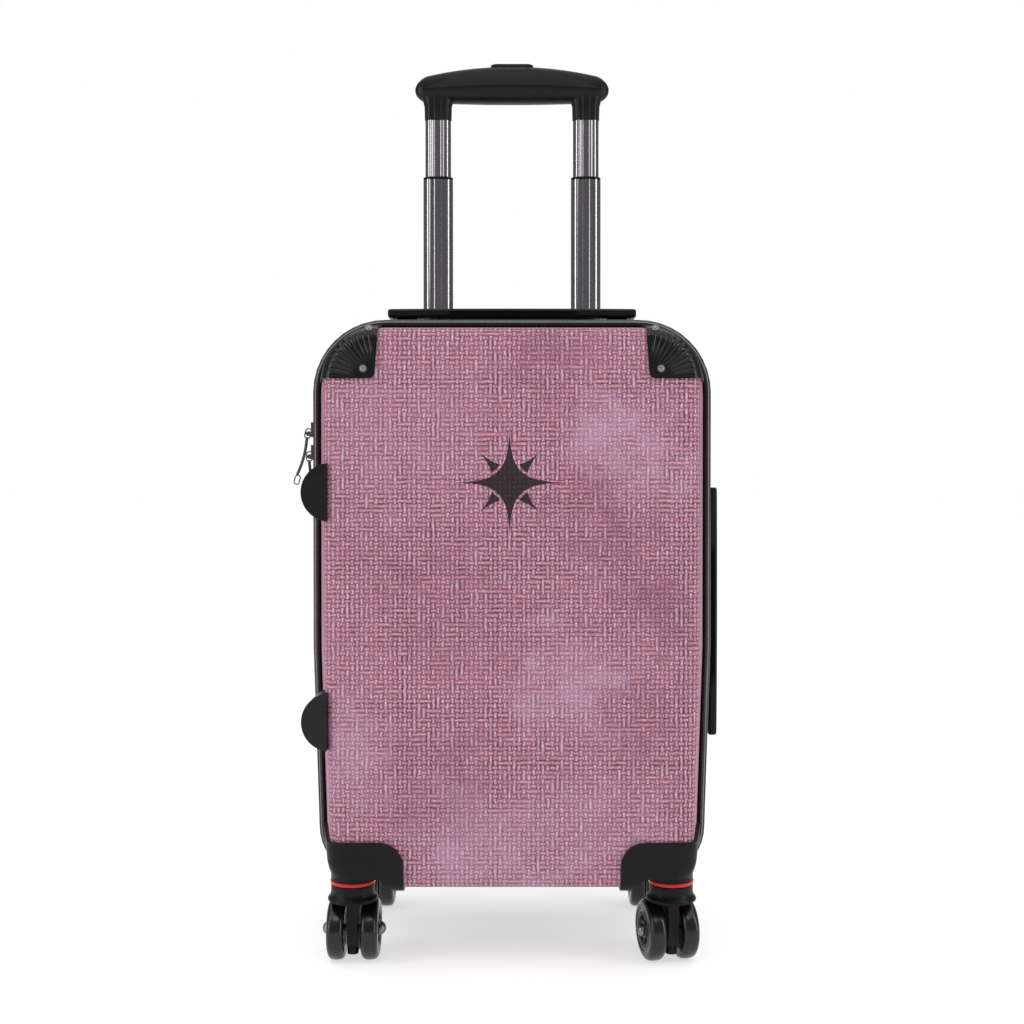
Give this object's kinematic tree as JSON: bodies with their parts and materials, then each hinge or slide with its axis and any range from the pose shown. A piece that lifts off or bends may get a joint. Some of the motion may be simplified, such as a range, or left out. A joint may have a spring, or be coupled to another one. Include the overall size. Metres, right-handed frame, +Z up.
{
  "type": "hard shell suitcase on wheels",
  "caption": "Upright hard shell cabin suitcase with a textile-print front, black rims and corner guards, telescopic trolley, carry handles and twin-wheel swivel casters.",
  "frame": {"origin": "middle of the case's footprint on the floor, with the case standing on its casters", "axes": "+X to the case's right seen from the front, the printed front faces -Y, +Z up"},
  "size_m": [0.377, 0.2376, 0.8085],
  "materials": {
    "printed_shell": "woven-look print under a satin film",
    "black_shell": "satin moulded, fine grain",
    "rim_plastic": "satin moulding",
    "black_plastic": "fine moulded grain",
    "soft_grip": "soft-touch",
    "zip_tape": "woven tape",
    "lining": "woven polyester",
    "rivets": "black lacquer",
    "red_plastic": "gloss",
    "bare_tube": "anodised",
    "black_tube": "black anodised, satin",
    "tyre": "polyurethane",
    "hub": "moulded",
    "steel": "bronze-tinted plating",
    "slider_metal": "gunmetal plating",
    "pull_rubber": "moulded"
  },
  "bodies": {
    "case_body": {"rear_shell": "black_shell", "rear_rim": "rim_plastic", "rear_zip": "zip_tape", "hinge_tape": "zip_tape", "rear_lining": "lining", "rear_guards": "black_plastic", "rear_guard_rivets": "rivets", "rear_feet": "black_plastic", "rear_wheel_housings": "black_plastic", "rear_swivel_rings": "red_plastic", "trolley_outer_tubes": "bare_tube", "trolley_bracket": "black_plastic", "trolley_bezel": "black_plastic", "top_handle_base": "black_plastic", "side_handle_base": "black_plastic"},
    "lid": {"front_shell": "printed_shell", "front_rim": "rim_plastic", "front_zip": "zip_tape", "front_lining": "lining", "front_guards": "black_plastic", "front_guard_rivets": "rivets", "front_feet": "black_plastic", "front_wheel_housings": "black_plastic", "front_swivel_rings": "red_plastic"},
    "trolley_middle": {"trolley_middle_tubes": "black_tube", "trolley_collars": "black_plastic"},
    "trolley_upper": {"trolley_inner_tubes": "black_tube", "trolley_grip": "black_plastic"},
    "trolley_button": {"trolley_button": "black_plastic"},
    "top_handle": {"top_handle_grip": "soft_grip"},
    "side_handle": {"side_handle_grip": "soft_grip"},
    "slider_high": {"zip_slider_high": "slider_metal"},
    "slider_low": {"zip_slider_low": "slider_metal"},
    "pull_high": {"zip_pull_high": "pull_rubber"},
    "pull_low": {"zip_pull_low": "pull_rubber"},
    "caster_front_left": {"fork_front_left": "black_plastic", "axle_front_left": "steel"},
    "wheel_front_left_a": {"tyre_front_left_a": "tyre", "hub_front_left_a": "hub"},
    "wheel_front_left_b": {"tyre_front_left_b": "tyre", "hub_front_left_b": "hub"},
    "caster_front_right": {"fork_front_right": "black_plastic", "axle_front_right": "steel"},
    "wheel_front_right_a": {"tyre_front_right_a": "tyre", "hub_front_right_a": "hub"},
    "wheel_front_right_b": {"tyre_front_right_b": "tyre", "hub_front_right_b": "hub"},
    "caster_rear_left": {"fork_rear_left": "black_plastic", "axle_rear_left": "steel"},
    "wheel_rear_left_a": {"tyre_rear_left_a": "tyre", "hub_rear_left_a": "hub"},
    "wheel_rear_left_b": {"tyre_rear_left_b": "tyre", "hub_rear_left_b": "hub"},
    "caster_rear_right": {"fork_rear_right": "black_plastic", "axle_rear_right": "steel"},
    "wheel_rear_right_a": {"tyre_rear_right_a": "tyre", "hub_rear_right_a": "hub"},
    "wheel_rear_right_b": {"tyre_rear_right_b": "tyre", "hub_rear_right_b": "hub"}
  },
  "joints": [
    {"name": "lid_hinge", "type": "hinge", "parent": "case_body", "child": "lid", "pos_m": [0.176, -0.02, 0.303], "axis": [0, 0, 1], "range_deg": [0, 150]},
    {"name": "trolley_middle_slide", "type": "slide", "parent": "case_body", "child": "trolley_middle", "axis": [0, 0, 1], "range_m": [-0.15, 0.08]},
    {"name": "trolley_upper_slide", "type": "slide", "parent": "trolley_middle", "child": "trolley_upper", "axis": [0, 0, 1], "range_m": [-0.053, 0.12]},
    {"name": "button_press", "type": "slide", "parent": "trolley_upper", "child": "trolley_button", "axis": [0, 0, -1], "range_m": [0, 0.003], "stiffness_N_per_m": 500, "springref_m": -0.002},
    {"name": "top_handle_lift", "type": "slide", "parent": "case_body", "child": "top_handle", "axis": [0, 0, 1], "range_m": [0, 0.008], "stiffness_N_per_m": 400, "springref_m": -0.002},
    {"name": "side_handle_pull", "type": "slide", "parent": "case_body", "child": "side_handle", "axis": [1, 0, 0], "range_m": [0, 0.008], "stiffness_N_per_m": 400, "springref_m": -0.002},
    {"name": "slider_high_run", "type": "slide", "parent": "case_body", "child": "slider_high", "axis": [0, 0, 1], "range_m": [-0.005, 0.03]},
    {"name": "slider_low_run", "type": "slide", "parent": "case_body", "child": "slider_low", "axis": [0, 0, 1], "range_m": [-0.155, 0.005]},
    {"name": "pull_high_swing", "type": "hinge", "parent": "slider_high", "child": "pull_high", "pos_m": [-0.18, -0.0236, 0.451], "axis": [0, 1, 0], "range_deg": [-5, 70]},
    {"name": "pull_low_swing", "type": "hinge", "parent": "slider_low", "child": "pull_low", "pos_m": [-0.18, -0.0164, 0.431], "axis": [0, 1, 0], "range_deg": [0, 70]},
    {"name": "swivel_front_left", "type": "hinge", "parent": "lid", "child": "caster_front_left", "pos_m": [-0.135, -0.075, 0.06], "axis": [0, 0, 1], "continuous": true},
    {"name": "roll_front_left_a", "type": "hinge", "parent": "caster_front_left", "child": "wheel_front_left_a", "pos_m": [-0.135, -0.065, 0.026], "axis": [1, 0, 0], "continuous": true},
    {"name": "roll_front_left_b", "type": "hinge", "parent": "caster_front_left", "child": "wheel_front_left_b", "pos_m": [-0.135, -0.065, 0.026], "axis": [1, 0, 0], "continuous": true},
    {"name": "swivel_front_right", "type": "hinge", "parent": "lid", "child": "caster_front_right", "pos_m": [0.135, -0.075, 0.06], "axis": [0, 0, 1], "continuous": true},
    {"name": "roll_front_right_a", "type": "hinge", "parent": "caster_front_right", "child": "wheel_front_right_a", "pos_m": [0.13292, -0.06522, 0.026], "axis": [0.9781, 0.2079, 0], "continuous": true},
    {"name": "roll_front_right_b", "type": "hinge", "parent": "caster_front_right", "child": "wheel_front_right_b", "pos_m": [0.13292, -0.06522, 0.026], "axis": [0.9781, 0.2079, 0], "continuous": true},
    {"name": "swivel_rear_left", "type": "hinge", "parent": "case_body", "child": "caster_rear_left", "pos_m": [-0.135, 0.075, 0.06], "axis": [0, 0, 1], "continuous": true},
    {"name": "roll_rear_left_a", "type": "hinge", "parent": "caster_rear_left", "child": "wheel_rear_left_a", "pos_m": [-0.135, 0.085, 0.026], "axis": [1, 0, 0], "continuous": true},
    {"name": "roll_rear_left_b", "type": "hinge", "parent": "caster_rear_left", "child": "wheel_rear_left_b", "pos_m": [-0.135, 0.085, 0.026], "axis": [1, 0, 0], "continuous": true},
    {"name": "swivel_rear_right", "type": "hinge", "parent": "case_body", "child": "caster_rear_right", "pos_m": [0.135, 0.075, 0.06], "axis": [0, 0, 1], "continuous": true},
    {"name": "roll_rear_right_a", "type": "hinge", "parent": "caster_rear_right", "child": "wheel_rear_right_a", "pos_m": [0.135, 0.085, 0.026], "axis": [1, 0, 0], "continuous": true},
    {"name": "roll_rear_right_b", "type": "hinge", "parent": "caster_rear_right", "child": "wheel_rear_right_b", "pos_m": [0.135, 0.085, 0.026], "axis": [1, 0, 0], "continuous": true}
  ]
}
